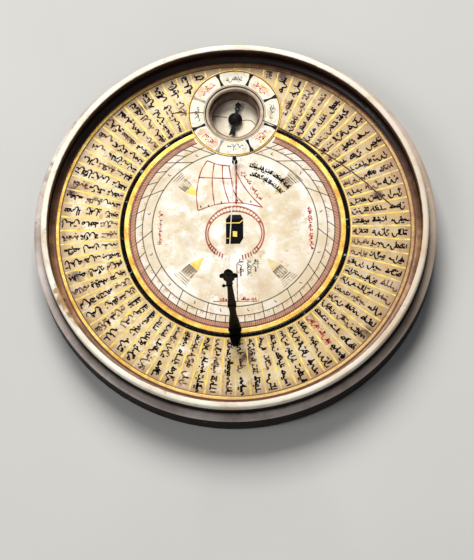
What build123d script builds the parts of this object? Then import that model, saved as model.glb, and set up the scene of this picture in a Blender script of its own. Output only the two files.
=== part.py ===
from build123d import *

import os
from math import atan2, degrees, hypot, sqrt

# Qibla indicator: a round painted tray that holds a place-list dial, a sundial fan,
# an inset compass and a folding post with a thread gnomon.
# Millimetres. Origin: centre of the foot ring on the table. +Z up, +Y from the post to the compass.

# ---- driving dimensions: the tray, from the table up ----
FOOT_H = 2.0
BASE_TOP = 5.5
DIAL_Z = 23.5
DIAL_T = 1.8
BED_TOP = DIAL_Z - DIAL_T
SEAT_TOP = DIAL_Z + 0.7
SEAT_T = 2.0
RIM_TOP = DIAL_Z + 14.1
RIM_CAP_H = 5.0
RIM_CAP_LOW = RIM_TOP - RIM_CAP_H

# ---- radii of the tray and the dial rings ----
BODY_R = 156.4
WALL_R = 150.0
QUIRK_R = WALL_R - 0.8
QUIRK_H = 0.6
WALL_IN_R = 145.4
LINING_T = 0.7
LINING_IN_R = WALL_IN_R - LINING_T
MOULDING_IN_R = 140.5
GILT_OUT_R = (136.9, 139.4)
PLACE_RING_R = (89.6, 140.4)
BLACK_RING_R = (86.5, 89.4)
GILT_IN_R = (82.5, 86.3)
INNER_DIAL_R = 82.3
MEDALLION_R = 23.3
MEDALLION_Y = -4.6
MEDALLION_T = 0.9

# ---- compass ----
COMPASS_Y = 97.0
PLATE_R = (23.6, 36.0)
PLATE_GILT_R = (36.1, 36.9)
BORE_R = 23.4
BOWL_R = 23.2
BOWL_IN_R = 18.4
BOWL_FLOOR_T = 1.0
GLASS_R = 20.9
GLASS_T = 1.2
GLASS_TOP = DIAL_Z - 4.0
BEZEL_R = (20.3, 22.8)
BEZEL_TOP = DIAL_Z - 0.8
CARD_R = 18.3
CARD_T = 0.6
CARD_TOP = BASE_TOP + BOWL_FLOOR_T + CARD_T
PIN_R = 0.6
CAP_BORE_R = PIN_R + 0.05
NEEDLE_Z = CARD_TOP + 3.0
NEEDLE_T = 0.8
NEEDLE_TURN = -11.0
HUB_R = 5.6

# ---- thread gnomon ----
PEG_Y = 55.5
PEG_H = 8.2
THREAD_R = 0.42
THREAD_LOW_Z = DIAL_Z + 6.5
POST_Y = -85.0
POST_H = 140.0
POST_T = 3.0
POST_BEVEL = 0.6
PIVOT_Z = DIAL_Z + 6.5
PIVOT_R = 1.25
POST_BORE_R = PIVOT_R + 0.05
EAR_R = 4.1
EAR_X = (2.45, 4.2)
KNUCKLE_R = 3.8
KNUCKLE_HALF = 2.3
FINIAL_H = 30.0
FINIAL_LOW = DIAL_Z + POST_H - FINIAL_H
FINIAL_T = 2.2
FINIAL_ROUND = 0.55
SPIGOT_R = 0.7
EYE_Z = DIAL_Z + POST_H - 7.0
EYE_R = 1.2
KNOT_R = 1.1
COLLAR_Z = DIAL_Z + 65.0
CLEAT_Z = DIAL_Z + 106.5
BRACKET_TOP = DIAL_Z + 1.2
NAIL_R = 0.8
NAIL_DEPTH = 7.0
NAIL_Y = (POST_Y - 8.6, POST_Y + 8.6)

LOW = (Align.CENTER, Align.CENTER, Align.MIN)


def disc(radius, low, high, y=0.0):
    """A round slab about the Z axis, or about a parallel axis at y."""
    return Pos(0, y, low) * Cylinder(radius, high - low, align=LOW)


def ring(radii, low, high, y=0.0):
    """A flat ring from the inner to the outer radius."""
    return disc(radii[1], low, high, y) - disc(radii[0], low - 1, high + 1, y)


def turned(points, y=0.0):
    """A solid turned about the Z axis from a closed (radius, height) outline."""
    outline = Plane.XZ * make_face(Polyline(*points, close=True))
    return Pos(0, y, 0) * revolve(outline, Axis.Z)


def rounded_top(shape, radius):
    """Round the circular edges at the top of a ring."""
    return fillet(shape.edges().group_by(Axis.Z)[-1], radius)


def outline_edges(plate):
    """The outline edges of an upright plate, on its front and back faces."""
    return [edge for face in plate.faces().filter_by(Axis.Y) for edge in face.outer_wire().edges()]


def compass_hole():
    return disc(PLATE_GILT_R[1] + 0.1, BED_TOP - 1, DIAL_Z + 3, COMPASS_Y)


def bracket_outline(grow=0.0):
    """A plate that is widest at the ears and tapers to two rounded tails."""
    wide = EAR_X[1] + grow
    tail = 1.9 + grow
    reach = 11.5 + grow
    half = 4.4 + grow
    points = [(-tail, -reach), (tail, -reach), (wide, -half), (wide, half),
              (tail, reach), (-tail, reach), (-wide, half), (-wide, -half)]
    face = make_face(Polyline(*points, close=True))
    return fillet(face.vertices(), 1.2)


def bracket_hole():
    return Pos(0, POST_Y, BED_TOP - 1) * extrude(bracket_outline(0.12), 6)


def cross_bar(radius, half, z):
    """A round bar along X, centred over the post's foot."""
    return Pos(0, POST_Y, z) * Rot(0, 90, 0) * Cylinder(radius, 2 * half)


# ---- tray ----
def foot_ring():
    return ring((138.0, 148.0), 0, FOOT_H)


def base_board():
    return disc(QUIRK_R - 0.05, FOOT_H, BASE_TOP)


def body_hoop():
    low_edge = 1.5
    hoop = ring((QUIRK_R, BODY_R), FOOT_H, SEAT_TOP - SEAT_T)
    bottom = hoop.edges().group_by(Axis.Z)[0].sort_by(SortBy.RADIUS)[-1]
    return fillet(bottom, low_edge)


def lid_seat_ring():
    seat = ring((QUIRK_R, BODY_R + 0.1), SEAT_TOP - SEAT_T, SEAT_TOP)
    outer = seat.edges().group_by(Axis.Z)[-1].sort_by(SortBy.RADIUS)[-1]
    return fillet(outer, 1.3)


def wall_hoop():
    """The hoop that the lid slips over. A fine quirk line parts it from the seat."""
    hoop = ring((WALL_IN_R, QUIRK_R), BASE_TOP, SEAT_TOP + QUIRK_H)
    return hoop + ring((WALL_IN_R, WALL_R), SEAT_TOP + QUIRK_H, RIM_CAP_LOW)


def rim_cap():
    cap = ring((LINING_IN_R, WALL_R), RIM_CAP_LOW, RIM_TOP)
    inner, outer = cap.edges().group_by(Axis.Z)[-1].sort_by(SortBy.RADIUS)
    return fillet([inner, outer], 1.3)


def wall_lining():
    return ring((LINING_IN_R, WALL_IN_R - 0.02), BED_TOP, RIM_CAP_LOW)


def edge_moulding():
    """The hollow moulding that rises from the dial to the wall."""
    rise = 2.2
    outer = LINING_IN_R - 0.05
    floor = Line((MOULDING_IN_R, BED_TOP), (outer, BED_TOP))
    back = Line((outer, BED_TOP), (outer, DIAL_Z + rise))
    cove = ThreePointArc((outer, DIAL_Z + rise), (142.9, DIAL_Z + 0.5), (MOULDING_IN_R, DIAL_Z - 0.1))
    inner = Line((MOULDING_IN_R, DIAL_Z - 0.1), (MOULDING_IN_R, BED_TOP))
    return revolve(Plane.XZ * make_face([floor, back, cove, inner]), Axis.Z)


def dial_bed():
    bed = disc(WALL_IN_R - 0.05, BASE_TOP, BED_TOP)
    bed -= disc(BORE_R, BASE_TOP - 1, BED_TOP + 1, COMPASS_Y)
    bed -= disc(1.25, BED_TOP - 6, BED_TOP + 1, PEG_Y)
    for y in NAIL_Y:
        bed -= disc(NAIL_R, BED_TOP - NAIL_DEPTH, BED_TOP + 1, y)
    return bed


# ---- dial rings ----
def outer_dial_ring():
    paper = ring(PLACE_RING_R, BED_TOP, DIAL_Z)
    paper -= ring((GILT_OUT_R[0] - 0.05, GILT_OUT_R[1] + 0.05), DIAL_Z - 0.6, DIAL_Z + 1)
    return paper - compass_hole() - bracket_hole()


def outer_gilt_ring():
    return rounded_top(ring(GILT_OUT_R, DIAL_Z - 0.6, DIAL_Z + 0.4), 0.3)


def black_ring():
    moulding = rounded_top(ring(BLACK_RING_R, BED_TOP, DIAL_Z + 0.8), 0.7)
    return moulding - compass_hole() - bracket_hole()


def inner_gilt_ring():
    band = rounded_top(ring(GILT_IN_R, BED_TOP, DIAL_Z + 0.4), 0.3)
    return band - compass_hole() - bracket_hole()


def inner_dial():
    face = disc(INNER_DIAL_R, BED_TOP, DIAL_Z)
    face -= disc(MEDALLION_R + 0.05, DIAL_Z - MEDALLION_T, DIAL_Z + 1, MEDALLION_Y)
    face -= disc(1.25, BED_TOP - 1, DIAL_Z + 1, PEG_Y)
    return face - compass_hole() - bracket_hole()


def medallion_disc():
    return disc(MEDALLION_R, DIAL_Z - MEDALLION_T, DIAL_Z, MEDALLION_Y)


# ---- compass ----
def compass_plate():
    return rounded_top(ring(PLATE_R, BED_TOP, DIAL_Z + 0.3, COMPASS_Y), 0.25)


def compass_gilt_ring():
    return rounded_top(ring(PLATE_GILT_R, BED_TOP, DIAL_Z + 0.8, COMPASS_Y), 0.3)


def compass_bezel():
    inner, outer = BEZEL_R
    bevel = 0.9
    outline = [(inner, GLASS_TOP), (outer, GLASS_TOP), (outer, BEZEL_TOP - 0.4), (outer - 0.4, BEZEL_TOP),
               (inner + bevel, BEZEL_TOP), (inner, BEZEL_TOP - bevel)]
    return turned(outline, COMPASS_Y)


def compass_glass():
    return disc(GLASS_R, GLASS_TOP - GLASS_T, GLASS_TOP, COMPASS_Y)


def compass_bowl():
    floor = BASE_TOP + BOWL_FLOOR_T
    bowl = disc(BOWL_R, BASE_TOP, GLASS_TOP, COMPASS_Y)
    bowl -= disc(BOWL_IN_R, floor, GLASS_TOP + 1, COMPASS_Y)
    return bowl - disc(GLASS_R + 0.1, GLASS_TOP - GLASS_T, GLASS_TOP + 1, COMPASS_Y)


def compass_card():
    card = disc(CARD_R, CARD_TOP - CARD_T, CARD_TOP, COMPASS_Y)
    return card - disc(PIN_R, CARD_TOP - 1, CARD_TOP + 1, COMPASS_Y)


def needle_pivot():
    """A pin with a foot flange and a ground point."""
    shoulder = NEEDLE_Z + 2.0
    outline = [(0, CARD_TOP - CARD_T), (PIN_R, CARD_TOP - CARD_T), (PIN_R, CARD_TOP), (2.2, CARD_TOP),
               (2.2, CARD_TOP + 0.5), (PIN_R, CARD_TOP + 1.1), (PIN_R, shoulder), (0, shoulder + 0.7)]
    return turned(outline, COMPASS_Y)


def needle():
    """Flat black needle: hub, pierced neck, leaf-shaped head and a notched tail, drawn pointing to +Y."""
    neck_half = 1.3
    ring_y = 9.2
    head_low, head_wide, head_tip = 10.4, 12.5, 15.4
    head_half = 2.4
    tail_half, tail_end, tail_notch = 2.5, -14.3, -12.7
    blade = Circle(HUB_R) + Pos(0, (ring_y + HUB_R) / 2) * Rectangle(2 * neck_half, ring_y - HUB_R + 2)
    blade += Pos(0, ring_y) * Circle(2.0)
    right = Spline((0.6, head_low), (head_half, head_wide), (0, head_tip), tangents=[(1, 0.6), (-0.7, 1)])
    leaf = make_face(right + mirror(right, Plane.YZ) + Line((-0.6, head_low), (0.6, head_low)))
    tail = make_face(Polyline((-neck_half, -4.5), (-tail_half, tail_end), (0, tail_notch),
                              (tail_half, tail_end), (neck_half, -4.5), close=True))
    blade = blade + leaf + tail - Pos(0, ring_y) * Circle(0.85) - Circle(2.25)
    solid = extrude(blade, NEEDLE_T)
    return Pos(0, COMPASS_Y, NEEDLE_Z) * Rot(0, 0, NEEDLE_TURN) * solid


def needle_cap():
    """Turned cap with a boss in the needle's hub and a blind bore over the pivot."""
    low = NEEDLE_Z - 0.4
    top = NEEDLE_Z + NEEDLE_T
    boss_r = 2.2
    crown = 2.6
    dome_r = 4.9
    sphere_r = (dome_r ** 2 + crown ** 2) / (2 * crown)
    mid_r = dome_r / 2
    mid_z = top + crown - sphere_r + sqrt(sphere_r ** 2 - mid_r ** 2)
    bore_top = NEEDLE_Z + 2.1
    skirt = Polyline((CAP_BORE_R, low), (boss_r, low), (boss_r, top), (dome_r, top))
    dome = ThreePointArc((dome_r, top), (mid_r, mid_z), (0, top + crown))
    inside = Polyline((0, top + crown), (0, bore_top + 0.8), (CAP_BORE_R, bore_top), (CAP_BORE_R, low))
    return Pos(0, COMPASS_Y, 0) * revolve(Plane.XZ * make_face(skirt + dome + inside), Axis.Z)


# ---- thread gnomon ----
def thread_peg():
    """Turned peg with a spigot in the bed, a foot, a waist for the thread and a round head."""
    waist = THREAD_LOW_Z - DIAL_Z
    outline = [(0, -7.5), (1.2, -7.5), (1.2, 0), (2.2, 0), (2.2, 0.6), (1.5, 1.0), (1.5, waist - 0.9),
               (1.0, waist - 0.5), (1.0, waist + 0.5), (1.6, waist + 0.8), (1.6, PEG_H - 0.5),
               (1.0, PEG_H), (0, PEG_H)]
    return Pos(0, 0, DIAL_Z) * turned(outline, PEG_Y)


def thread_loop():
    """The thread's turn round the peg."""
    return Pos(0, PEG_Y, THREAD_LOW_Z) * Torus(1.47, THREAD_R)


def thread_ends():
    """The taut thread runs from the loop's near side to the knot in the finial's eye."""
    low = (0, PEG_Y - 1.47 - THREAD_R - 0.2, THREAD_LOW_Z)
    high = (0, POST_Y + FINIAL_T / 2 + 0.75, EYE_Z - 0.3)
    return low, high


def gnomon_thread():
    low, high = thread_ends()
    run, rise = low[1] - high[1], high[2] - low[2]
    lean = degrees(atan2(run, rise))
    return Pos(*low) * Rot(lean, 0, 0) * Cylinder(THREAD_R, hypot(run, rise), align=LOW)


def post_bracket():
    """Base plate with two round-topped ears either side of the post's foot."""
    plate = Pos(0, POST_Y, BED_TOP) * extrude(bracket_outline(), BRACKET_TOP - BED_TOP)
    thickness = EAR_X[1] - EAR_X[0]
    for side in (-1, 1):
        x = side * (EAR_X[0] + EAR_X[1]) / 2
        height = PIVOT_Z - BRACKET_TOP
        web = Pos(x, POST_Y, BRACKET_TOP) * Box(thickness, 2 * EAR_R, height, align=LOW)
        crown = Pos(x, POST_Y, PIVOT_Z) * Rot(0, 90, 0) * Cylinder(EAR_R, thickness)
        plate += web + crown
    plate -= cross_bar(PIVOT_R, 8, PIVOT_Z)
    for y in NAIL_Y:
        plate -= disc(NAIL_R, BED_TOP - 1, BRACKET_TOP + 1, y)
    return plate


def post_hinge_pin():
    pin = cross_bar(PIVOT_R, EAR_X[1], PIVOT_Z)
    for side in (-1, 1):
        head = Rot(0, side * 90, 0) * Cone(2.1, 1.2, 0.9, align=LOW)
        pin += Pos(side * EAR_X[1], POST_Y, PIVOT_Z) * head
    return pin


def bracket_nails():
    """Two round-headed nails that hold the bracket down."""
    nails = []
    for y in NAIL_Y:
        outline = [(0, BED_TOP - NAIL_DEPTH), (NAIL_R, BED_TOP - NAIL_DEPTH), (NAIL_R, BRACKET_TOP),
                   (1.6, BRACKET_TOP), (1.1, BRACKET_TOP + 0.7), (0, BRACKET_TOP + 0.9)]
        nails.append(turned(outline, y))
    return Compound(children=nails)


def blade_profile():
    """Right half of the post from its shoulder up: a flare, a slim waist, a swell and a long taper."""
    shoulder = [(KNUCKLE_HALF, PIVOT_Z + 5.1), (4.1, PIVOT_Z + 6.4)]
    heights = [PIVOT_Z + 6.4, DIAL_Z + 24, DIAL_Z + 38, DIAL_Z + 50, DIAL_Z + 63, DIAL_Z + 106, FINIAL_LOW]
    halves = [4.1, 3.9, 2.8, 2.5, 2.8, 1.9, 1.9]
    side = Spline(*zip(halves, heights), tangents=[(0, 1), (0, 1)])
    foot = Polyline((0, PIVOT_Z), (KNUCKLE_HALF, PIVOT_Z), *shoulder)
    top = Polyline((1.9, FINIAL_LOW), (0, FINIAL_LOW), (0, PIVOT_Z))
    return make_face(foot + side + top)


def gnomon_post():
    """Flat blade that turns on the hinge pin, with a spigot for the finial."""
    half = extrude(Plane.XZ * blade_profile(), POST_T / 2, both=True)
    blade = Pos(0, POST_Y, 0) * (half + mirror(half, Plane.YZ))
    blade = chamfer(outline_edges(blade), POST_BEVEL)
    post = blade + cross_bar(KNUCKLE_R, KNUCKLE_HALF, PIVOT_Z)
    post += disc(SPIGOT_R, FINIAL_LOW, FINIAL_LOW + 5, POST_Y)
    post -= cross_bar(POST_BORE_R, 6, PIVOT_Z)
    return post - cross_bar(0.6, 6, CLEAT_Z)


def post_collar():
    """Square collar that sleeves the blade above its waist."""
    block = Pos(0, POST_Y, COLLAR_Z) * Box(6.4, POST_T + 1.2, 4.6)
    block = chamfer(block.edges().filter_by(Axis.X), 0.6)
    return block - gnomon_post()


def thread_cleat():
    """Small stud on the blade's left side, where the thread's tail is made fast."""
    shank = Cylinder(0.6, 5.2, align=LOW)
    ball = Pos(0, 0, 5.7) * Sphere(1.25)
    return Pos(1.3, POST_Y, CLEAT_Z) * Rot(0, -90, 0) * (shank + ball)


def finial_outline():
    """Right half of a pierced bud: bead, neck, round lobe, drooping side petal and domed crown."""
    up = FINIAL_LOW
    bead = ThreePointArc((1.9, up), (2.5, up + 1.3), (1.9, up + 2.6))
    lobe = Spline((1.9, up + 2.6), (2.2, up + 7.0), (4.0, up + 12.0), (3.9, up + 15.2), tangents=[(0, 1), (-0.1, 1)])
    under = Spline((3.9, up + 15.2), (5.3, up + 15.6), (6.7, up + 16.8), tangents=[(0.7, 0), (0.6, 1)])
    over = Spline((6.7, up + 16.8), (5.6, up + 19.8), (3.2, up + 21.2), tangents=[(0, 1), (-1, 0.3)])
    crown = Spline((3.2, up + 21.2), (3.0, up + 25.4), (0, up + FINIAL_H), tangents=[(0.3, 1), (-1, 0.6)])
    return bead + lobe + under + over + crown + Polyline((0, up + FINIAL_H), (0, up), (1.9, up))


def post_finial():
    half = extrude(Plane.XZ * make_face(finial_outline()), FINIAL_T / 2, both=True)
    finial = Pos(0, POST_Y, 0) * (half + mirror(half, Plane.YZ))
    finial = fillet(outline_edges(finial), FINIAL_ROUND)
    eye = Pos(0, POST_Y, EYE_Z) * Rot(90, 0, 0) * Cylinder(EYE_R, 10)
    return finial - eye - disc(SPIGOT_R, FINIAL_LOW - 1, FINIAL_LOW + 5, POST_Y)


def thread_knot():
    return Pos(0, POST_Y + FINIAL_T / 2 - KNOT_R + 0.5, EYE_Z) * Sphere(KNOT_R)


PIECES = [foot_ring, base_board, body_hoop, lid_seat_ring, wall_hoop, rim_cap, wall_lining, edge_moulding,
          dial_bed, outer_dial_ring, outer_gilt_ring, black_ring, inner_gilt_ring, inner_dial, medallion_disc,
          compass_plate, compass_gilt_ring, compass_bezel, compass_glass, compass_bowl, compass_card,
          needle_pivot, needle, needle_cap, thread_peg, thread_loop, gnomon_thread, post_bracket,
          post_hinge_pin, bracket_nails, gnomon_post, post_collar, thread_cleat, post_finial, thread_knot]

os.makedirs("parts", exist_ok=True)
for piece in PIECES:
    export_step(piece(), f"parts/{piece.__name__}.step")
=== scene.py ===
import math
import random

import bpy
from mathutils import Matrix, Vector, noise


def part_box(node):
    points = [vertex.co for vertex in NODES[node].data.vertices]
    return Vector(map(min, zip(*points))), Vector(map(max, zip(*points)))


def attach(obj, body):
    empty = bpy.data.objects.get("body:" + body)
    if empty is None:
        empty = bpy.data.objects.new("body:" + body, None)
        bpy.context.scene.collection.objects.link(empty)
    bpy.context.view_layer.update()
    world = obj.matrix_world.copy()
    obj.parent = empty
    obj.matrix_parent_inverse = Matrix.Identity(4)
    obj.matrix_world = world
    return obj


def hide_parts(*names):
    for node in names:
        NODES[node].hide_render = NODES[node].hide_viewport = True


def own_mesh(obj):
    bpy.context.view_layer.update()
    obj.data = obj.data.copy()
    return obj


# Looks of the qibla indicator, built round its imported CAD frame. Helper lengths are in millimetres.
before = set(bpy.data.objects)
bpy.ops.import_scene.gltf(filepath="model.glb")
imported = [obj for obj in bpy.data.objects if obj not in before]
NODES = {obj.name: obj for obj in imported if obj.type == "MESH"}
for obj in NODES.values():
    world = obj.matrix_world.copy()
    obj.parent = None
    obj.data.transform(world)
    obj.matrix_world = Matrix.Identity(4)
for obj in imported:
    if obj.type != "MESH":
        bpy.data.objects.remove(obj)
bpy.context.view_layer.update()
MM = 0.001


def top_mm(node):
    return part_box(node)[1].z / MM


def base_mm(node):
    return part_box(node)[0].z / MM


def middle_mm(node):
    low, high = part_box(node)
    return Vector(((low.x + high.x) / 2, (low.y + high.y) / 2)) / MM


def reach_mm(node):
    """Outer radius of a round node."""
    low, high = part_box(node)
    return (high.x - low.x) / 2 / MM


# ---- places and sizes taken from the frame ----
DIAL_Z = top_mm("inner_dial")
PLATE_Z = top_mm("compass_plate")
CARD_Z = top_mm("compass_card")
SEAT_Z = top_mm("lid_seat_ring")
RIM_Z = top_mm("rim_cap")
COMPASS = middle_mm("compass_card")
PLATE_OUT = reach_mm("compass_gilt_ring")
PEG = middle_mm("thread_peg")
MEDALLION = middle_mm("medallion_disc")
WALL_R = reach_mm("rim_cap")
BODY_R = reach_mm("lid_seat_ring")

# ---- the dial's own layout: radii, and how long a row's words are ----
ROW_COUNT, ROW_STEPS = 72, 90
ROW_IN_R, ROW_OUT_R, BORDER_OUT_R = 91.0, 136.0, 139.95
WORD_LENGTH = 14
HOUR_IN_R, HOUR_OUT_R, PART_OUT_R, TICK_OUT_R = 64.4, 72.0, 77.6, 81.6
LATITUDE = math.radians(41)

# ---- paint starts SINK below its ground and ends at one of these heights above it ----
SINK, FILL_Z, LINE_Z, BEAD_Z, INK_Z, CRACK_Z, GOLD_Z = 0.03, 0.03, 0.05, 0.06, 0.07, 0.08, 0.09

# ---- gaps kept from the compass plate by lines and by words ----
PLATE_MARGIN, ROW_MARGIN = 0.6, 2.2

# ---- a radius is divided by this to bring it into the 0 to 1 of a colour ramp ----
RAMP_SPAN = 200.0


# ======== materials ========
def srgb(red, green, blue):
    """Linear colour of an 8-bit screen colour."""
    def linear(value):
        value /= 255
        return value / 12.92 if value <= 0.04045 else ((value + 0.055) / 1.055) ** 2.4
    return (linear(red), linear(green), linear(blue), 1.0)


def shade(value):
    """Shader colour from a grey share, a screen colour or a linear colour."""
    if not hasattr(value, "__len__"):
        return (value, value, value, 1.0)
    return srgb(*value) if len(value) == 3 else value


class Finish:
    """A material being wired up, on coordinates that stay with the object, in metres."""

    def __init__(self, name, roughness=0.5, metallic=0.0, coat=0.0, coat_roughness=0.15, specular=0.5):
        self.material = bpy.data.materials.new(name)
        self.material.use_nodes = True
        self.tree = self.material.node_tree
        self.shader = self.tree.nodes["Principled BSDF"]
        for socket, value in (("Roughness", roughness), ("Metallic", metallic), ("Coat Weight", coat),
                              ("Coat Roughness", coat_roughness), ("Specular IOR Level", specular)):
            self.set(socket, value)
        self.coords = self.tree.nodes.new("ShaderNodeTexCoord").outputs["Object"]

    def feed(self, socket, value):
        if isinstance(value, bpy.types.NodeSocket):
            self.tree.links.new(value, socket)
        else:
            socket.default_value = shade(value) if hasattr(value, "__len__") else value

    def set(self, socket, value):
        self.feed(self.shader.inputs[socket], value)

    def node(self, kind, inputs, **settings):
        """A new shader node with those properties set and those inputs fed."""
        node = self.tree.nodes.new("ShaderNode" + kind)
        for name, value in settings.items():
            setattr(node, name, value)
        for socket, value in inputs.items():
            self.feed(node.inputs[socket], value)
        return node

    def math(self, operation, first, second=0.0, clamp=False):
        return self.node("Math", {0: first, 1: second}, operation=operation, use_clamp=clamp).outputs[0]

    def add(self, first, second):
        return self.math("ADD", first, second)

    def times(self, first, second, clamp=False):
        return self.math("MULTIPLY", first, second, clamp)

    def noise(self, scale, detail=5.0, roughness=0.55, stretch=None, distortion=0.0):
        vector = self.stretched(stretch) if stretch else self.coords
        inputs = {"Vector": vector, "Scale": scale, "Detail": detail, "Roughness": roughness,
                  "Distortion": distortion}
        return self.node("TexNoise", inputs).outputs["Fac"]

    def stretched(self, scale):
        node = self.node("Mapping", {"Vector": self.coords})
        node.inputs["Scale"].default_value = scale
        return node.outputs["Vector"]

    def axis(self, name):
        return self.node("SeparateXYZ", {0: self.coords}).outputs[name]

    def radius(self, centre=(0.0, 0.0)):
        """Distance from a vertical axis, in millimetres."""
        dx = self.math("SUBTRACT", self.axis("X"), centre[0] * MM)
        dy = self.math("SUBTRACT", self.axis("Y"), centre[1] * MM)
        square = self.add(self.times(dx, dx), self.times(dy, dy))
        return self.math("DIVIDE", self.math("SQRT", square), MM)

    def across(self, name, start, end):
        """0 where that axis is at start, 1 at end, in millimetres."""
        span = self.math("DIVIDE", self.math("SUBTRACT", self.axis(name), start * MM), (end - start) * MM)
        return self.times(span, 1.0, clamp=True)

    def spot(self, centre, size, ragged=None):
        """1 at a place on the dial, falling to 0 at size millimetres away, with a ragged border."""
        near = self.math("SUBTRACT", 1.0, self.math("DIVIDE", self.radius(centre), size))
        if ragged is not None:
            near = self.add(near, self.times(self.math("SUBTRACT", ragged, 0.5), 1.6))
        return self.times(near, 1.0, clamp=True)

    def ramp(self, factor, *stops):
        node = self.node("ValToRGB", {"Fac": factor})
        band = node.color_ramp
        while len(band.elements) < len(stops):
            band.elements.new(0.5)
        for element, (place, value) in zip(band.elements, stops):
            element.position = place
            element.color = shade(value)
        return node.outputs["Color"]

    def step(self, factor, low, high):
        """0 below low, 1 above high."""
        return self.ramp(factor, (low, 0.0), (high, 1.0))

    def mix(self, factor, first, second):
        return self.node("Mix", {"Factor": factor, 6: first, 7: second}, data_type="RGBA").outputs[2]

    def patches(self, base, noise, low, high, colour):
        """Lays a colour over the base where a noise is above high, fading out towards low."""
        return self.mix(self.step(self.noise(*noise), low, high), base, colour)

    def done(self, base, rough, height, depth, strength):
        """Wires the colour, the roughness (noise, low, high) and a bump of that depth in millimetres."""
        self.set("Base Color", base)
        if rough is not None:
            factor, low, high = rough
            self.set("Roughness", self.ramp(factor, (0.3, low), (0.8, high)))
        bump = self.node("Bump", {"Strength": strength, "Distance": depth * MM, "Height": height})
        self.set("Normal", bump.outputs["Normal"])
        return self.material


def painted_gesso(name, pale, mid, dirt, inner_edge=None, wall_shadow_edge=None):
    """Old cream paint: warm blotches, grime, places rubbed to the tan ground, and dark bare edges.
    It turns darker and yellower towards the right as painted shade on the side away from the light, and a
    streak of the rim's inner half is rubbed at the front left."""
    f = Finish(name, coat=0.25, coat_roughness=0.3)
    blotch = f.noise(28, 6, 0.6)
    grime = f.noise(120, 8, 0.7, distortion=0.6)
    base = f.ramp(blotch, (0.30, dirt), (0.50, mid), (0.72, pale))
    base = f.mix(f.step(grime, 0.60, 0.76), base, (168, 132, 92))
    worn = f.step(f.noise(52, 9, 0.75), 0.63, 0.67)
    base = f.mix(worn, base, (150, 110, 72))
    ragged = f.noise(150, 7, 0.75)
    # Painted shade: the paint is darker and yellower towards the right, the side away from the light.
    right_side_shade = f.times(f.across("X", 40, 150), 0.55)
    base = f.mix(right_side_shade, base, (196, 168, 136))
    # Painted shadow: a dark brown band just outside the given radius, where the wall's shadow falls on the
    # paint next to it.
    if wall_shadow_edge is not None:
        near = f.add(f.radius(), f.times(ragged, 2.6))
        share = f.math("DIVIDE", near, RAMP_SPAN)
        dark = f.ramp(share, ((wall_shadow_edge + 0.8) / RAMP_SPAN, 1.0), ((wall_shadow_edge + 3.6) / RAMP_SPAN, 0.0))
        base = f.mix(dark, base, (36, 24, 18))
    if inner_edge is not None:
        near = f.add(f.radius(), f.times(ragged, -1.1))
        share = f.math("DIVIDE", near, RAMP_SPAN)
        bare = f.step(share, (inner_edge - 0.75) / RAMP_SPAN, (inner_edge - 0.45) / RAMP_SPAN)
        base = f.mix(bare, (62, 30, 18), base)
        streak = f.times(f.spot((-125, -66), 26), f.step(ragged, 0.36, 0.52))
        outwards = f.math("DIVIDE", f.math("SUBTRACT", f.radius(), inner_edge), 3.4)
        inner_half = f.math("SUBTRACT", 1.0, outwards, clamp=True)
        rubbed = f.times(f.times(streak, inner_half), 2.6, clamp=True)
        base = f.mix(rubbed, base, (150, 112, 74))
        high = f.step(f.math("DIVIDE", f.axis("Z"), 0.05), (RIM_Z - 2.2) / 50, (RIM_Z - 1.2) / 50)
        for centre, size in (((-131.5, -61), 8), ((-128, -69), 5), ((-136, -54), 4)):
            chip = f.times(f.step(f.spot(centre, size, ragged), 0.32, 0.44), high)
            base = f.mix(chip, base, (176, 140, 96))
    height = f.add(f.noise(260, 5), f.times(worn, -0.8))
    return f.done(base, (grime, 0.34, 0.62), height, 0.18, 0.5)


def old_wood(name, dark, light, coat=0.15):
    """Close-grained wood with the grain drawn out along X, scratches and dull wear."""
    f = Finish(name, coat=coat, coat_roughness=0.35)
    grain = f.noise(30, 8, 0.65, stretch=(1.0, 14.0, 14.0), distortion=0.4)
    fine = f.noise(420, 4, 0.6, stretch=(0.25, 4.0, 4.0))
    wear = f.noise(18, 8, 0.7)
    base = f.ramp(grain, (0.3, dark), (0.7, light))
    base = f.mix(f.step(fine, 0.55, 0.75), base, tuple(0.45 * c for c in srgb(*dark)[:3]) + (1.0,))
    base = f.mix(f.step(wear, 0.66, 0.74), base, (142, 104, 70))
    return f.done(base, (wear, 0.42, 0.68), f.add(grain, fine), 0.12, 0.5)


def hoop_wood():
    """Dark hoop: grain runs round it, with scuffs that show paler wood. Its near-black tones stand partly for
    the shade on the outer wall below the rim.
    """
    f = Finish("hoop_wood", roughness=0.6, specular=0.1)
    grain = f.noise(26, 8, 0.65, stretch=(1.0, 1.0, 26.0), distortion=0.3)
    scuff = f.noise(70, 8, 0.75, stretch=(1.0, 1.0, 3.0))
    # Near-black tones: partly the dark wood, partly painted shade.
    base = f.ramp(grain, (0.3, (11, 6, 4)), (0.60, (28, 14, 9)), (0.8, (66, 38, 23)))
    base = f.mix(f.step(scuff, 0.62, 0.70), base, (150, 112, 78))
    return f.done(base, (scuff, 0.40, 0.66), f.add(grain, f.noise(300, 4)), 0.15, 0.5)


def lining():
    f = Finish("red_brown_lining", roughness=0.7, specular=0.12)
    mottle = f.noise(60, 7, 0.65)
    # Dark red-brown lining whose tones are pushed near black, partly as painted shade on the inner wall.
    base = f.ramp(mottle, (0.3, (14, 5, 4)), (0.6, (36, 14, 9)), (0.8, (84, 42, 26)))
    return f.done(base, None, f.noise(700, 5, 0.7), 0.10, 0.6)


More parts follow.
